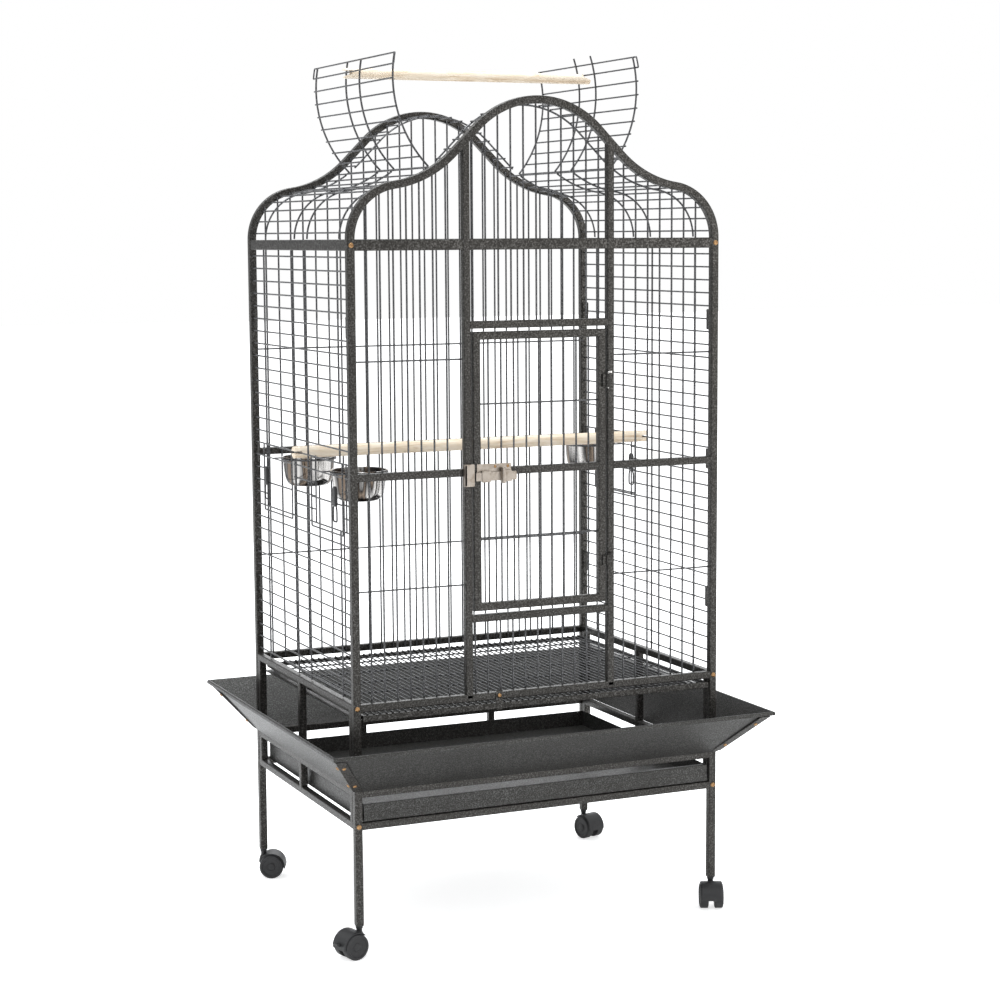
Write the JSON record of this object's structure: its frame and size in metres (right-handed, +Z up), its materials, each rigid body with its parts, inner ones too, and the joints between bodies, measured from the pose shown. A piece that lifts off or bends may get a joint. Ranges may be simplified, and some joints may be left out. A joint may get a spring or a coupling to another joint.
{
  "type": "bird cage on rolling stand",
  "caption": "Upright wrought wire bird cage with an arched play-top roof, hinged front door, swing-out feeder cups, sliding grate and tray, flared seed skirts and swivel casters.",
  "frame": {"origin": "on the floor under the middle of the cage", "axes": "+Z up, +X to the right as seen from the front door, -Y out of the front door"},
  "size_m": [0.9246, 0.7976, 1.7082],
  "materials": {
    "hammertone": "dark charcoal hammertone powder coat",
    "pine": "bare turned pine",
    "stainless": "polished",
    "nickel": "satin nickel plate",
    "brass": "plated screw",
    "black_plastic": "moulded, slightly glossy"
  },
  "bodies": {
    "cage": {"front_frame": "hammertone", "back_frame": "hammertone", "base_side_left": "hammertone", "base_side_right": "hammertone", "side_shoulder_bar_left": "hammertone", "side_shoulder_bar_right": "hammertone", "front_bars_left": "hammertone", "front_bars_right": "hammertone", "front_bars_top": "hammertone", "front_bars_bottom": "hammertone", "back_bars": "hammertone", "side_mesh_left": "hammertone", "side_mesh_right": "hammertone", "roof_mesh_left": "hammertone", "roof_mesh_right": "hammertone", "roof_strip_front": "hammertone", "roof_strip_back": "hammertone", "top_perch": "pine", "inner_perch": "pine", "door_hinge_pin_lower": "stainless", "door_hinge_pin_upper": "stainless", "latch_strike": "nickel", "skirt_front": "hammertone", "skirt_back": "hammertone", "skirt_left": "hammertone", "skirt_right": "hammertone", "corner_bracket_front_left": "hammertone", "corner_bracket_front_right": "hammertone", "corner_bracket_back_left": "hammertone", "corner_bracket_back_right": "hammertone"},
    "front_door": {"front_door": "hammertone", "latch_plate": "nickel"},
    "latch_bolt": {"latch_bolt": "nickel"},
    "roof_flap_left": {"roof_flap_left": "hammertone"},
    "roof_flap_right": {"roof_flap_right": "hammertone"},
    "grate": {"grate": "hammertone", "grate_screw": "brass"},
    "tray": {"tray": "hammertone"},
    "feeder_door_left_front": {"feeder_door_left_front": "hammertone"},
    "feeder_cup_left_front": {"feeder_cup_left_front": "stainless"},
    "feeder_lock_left_front": {"feeder_lock_left_front": "black_plastic"},
    "feeder_door_left_back": {"feeder_door_left_back": "hammertone"},
    "feeder_cup_left_back": {"feeder_cup_left_back": "stainless"},
    "feeder_lock_left_back": {"feeder_lock_left_back": "black_plastic"},
    "feeder_door_right_back": {"feeder_door_right_back": "hammertone"},
    "feeder_cup_right_back": {"feeder_cup_right_back": "stainless"},
    "feeder_lock_right_back": {"feeder_lock_right_back": "black_plastic"},
    "caster_front_left": {"caster_hood_front_left": "black_plastic"},
    "wheels_front_left": {"caster_wheels_front_left": "black_plastic"},
    "caster_front_right": {"caster_hood_front_right": "black_plastic"},
    "wheels_front_right": {"caster_wheels_front_right": "black_plastic"},
    "caster_back_left": {"caster_hood_back_left": "black_plastic"},
    "wheels_back_left": {"caster_wheels_back_left": "black_plastic"},
    "caster_back_right": {"caster_hood_back_right": "black_plastic"},
    "wheels_back_right": {"caster_wheels_back_right": "black_plastic"},
    "brake_lever": {"brake_lever": "black_plastic"}
  },
  "joints": [
    {"name": "front_door_hinge", "type": "hinge", "parent": "cage", "child": "front_door", "pos_m": [0.1405, -0.303, 0.9], "axis": [0, 0, 1], "range_deg": [0, 170]},
    {"name": "latch_slide", "type": "slide", "parent": "front_door", "child": "latch_bolt", "axis": [-1, 0, 0], "range_m": [0, 0.016]},
    {"name": "roof_flap_left_hinge", "type": "hinge", "parent": "cage", "child": "roof_flap_left", "pos_m": [-0.1925, 0, 1.475], "axis": [0, -1, 0], "range_deg": [0, 35]},
    {"name": "roof_flap_right_hinge", "type": "hinge", "parent": "cage", "child": "roof_flap_right", "pos_m": [0.1925, 0, 1.475], "axis": [0, 1, 0], "range_deg": [0, 40]},
    {"name": "grate_slide", "type": "slide", "parent": "cage", "child": "grate", "axis": [0, -1, 0], "range_m": [0, 0.35]},
    {"name": "tray_slide", "type": "slide", "parent": "cage", "child": "tray", "axis": [0, -1, 0], "range_m": [0, 0.4]},
    {"name": "feeder_door_left_front_hinge", "type": "hinge", "parent": "cage", "child": "feeder_door_left_front", "pos_m": [-0.3845, -0.076, 0.861], "axis": [0, 0, -1], "range_deg": [0, 90]},
    {"name": "feeder_cup_left_front_lift", "type": "slide", "parent": "feeder_door_left_front", "child": "feeder_cup_left_front", "axis": [0, 0, 1], "range_m": [0, 0.08]},
    {"name": "feeder_lock_left_front_turn", "type": "hinge", "parent": "feeder_door_left_front", "child": "feeder_lock_left_front", "pos_m": [-0.3895, -0.224, 0.865], "axis": [-1, 0, 0], "range_deg": [0, 90]},
    {"name": "feeder_door_left_back_hinge", "type": "hinge", "parent": "cage", "child": "feeder_door_left_back", "pos_m": [-0.3845, 0.036, 0.861], "axis": [0, 0, 1], "range_deg": [0, 90]},
    {"name": "feeder_cup_left_back_lift", "type": "slide", "parent": "feeder_door_left_back", "child": "feeder_cup_left_back", "axis": [0, 0, 1], "range_m": [0, 0.08]},
    {"name": "feeder_lock_left_back_turn", "type": "hinge", "parent": "feeder_door_left_back", "child": "feeder_lock_left_back", "pos_m": [-0.3895, 0.184, 0.865], "axis": [-1, 0, 0], "range_deg": [0, 90]},
    {"name": "feeder_door_right_back_hinge", "type": "hinge", "parent": "cage", "child": "feeder_door_right_back", "pos_m": [0.3845, 0.229, 0.861], "axis": [0, 0, 1], "range_deg": [0, 90]},
    {"name": "feeder_cup_right_back_lift", "type": "slide", "parent": "feeder_door_right_back", "child": "feeder_cup_right_back", "axis": [0, 0, 1], "range_m": [0, 0.08]},
    {"name": "feeder_lock_right_back_turn", "type": "hinge", "parent": "feeder_door_right_back", "child": "feeder_lock_right_back", "pos_m": [0.3895, 0.081, 0.865], "axis": [1, 0, 0], "range_deg": [0, 90]},
    {"name": "caster_front_left_swivel", "type": "hinge", "parent": "cage", "child": "caster_front_left", "pos_m": [-0.3775, -0.29, 0.061], "axis": [0, 0, 1], "continuous": true},
    {"name": "caster_front_left_roll", "type": "hinge", "parent": "caster_front_left", "child": "wheels_front_left", "pos_m": [-0.39505, -0.29401, 0.025], "axis": [0.2229, -0.9748, 0], "continuous": true},
    {"name": "caster_front_right_swivel", "type": "hinge", "parent": "cage", "child": "caster_front_right", "pos_m": [0.3775, -0.29, 0.061], "axis": [0, 0, 1], "continuous": true},
    {"name": "caster_front_right_roll", "type": "hinge", "parent": "caster_front_right", "child": "wheels_front_right", "pos_m": [0.37018, -0.30645, 0.025], "axis": [0.9136, -0.4066, 0], "continuous": true},
    {"name": "caster_back_left_swivel", "type": "hinge", "parent": "cage", "child": "caster_back_left", "pos_m": [-0.3775, 0.29, 0.061], "axis": [0, 0, 1], "continuous": true},
    {"name": "caster_back_left_roll", "type": "hinge", "parent": "caster_back_left", "child": "wheels_back_left", "pos_m": [-0.36106, 0.28268, 0.025], "axis": [0.4066, 0.9136, 0], "continuous": true},
    {"name": "caster_back_right_swivel", "type": "hinge", "parent": "cage", "child": "caster_back_right", "pos_m": [0.3775, 0.29, 0.061], "axis": [0, 0, 1], "continuous": true},
    {"name": "caster_back_right_roll", "type": "hinge", "parent": "caster_back_right", "child": "wheels_back_right", "pos_m": [0.382, 0.27257, 0.025], "axis": [0.9682, 0.2502, 0], "continuous": true},
    {"name": "brake_lever_tip", "type": "hinge", "parent": "caster_front_left", "child": "brake_lever", "pos_m": [-0.42497, -0.30085, 0.031], "axis": [0.2229, -0.9748, 0], "range_deg": [0, 20]}
  ]
}
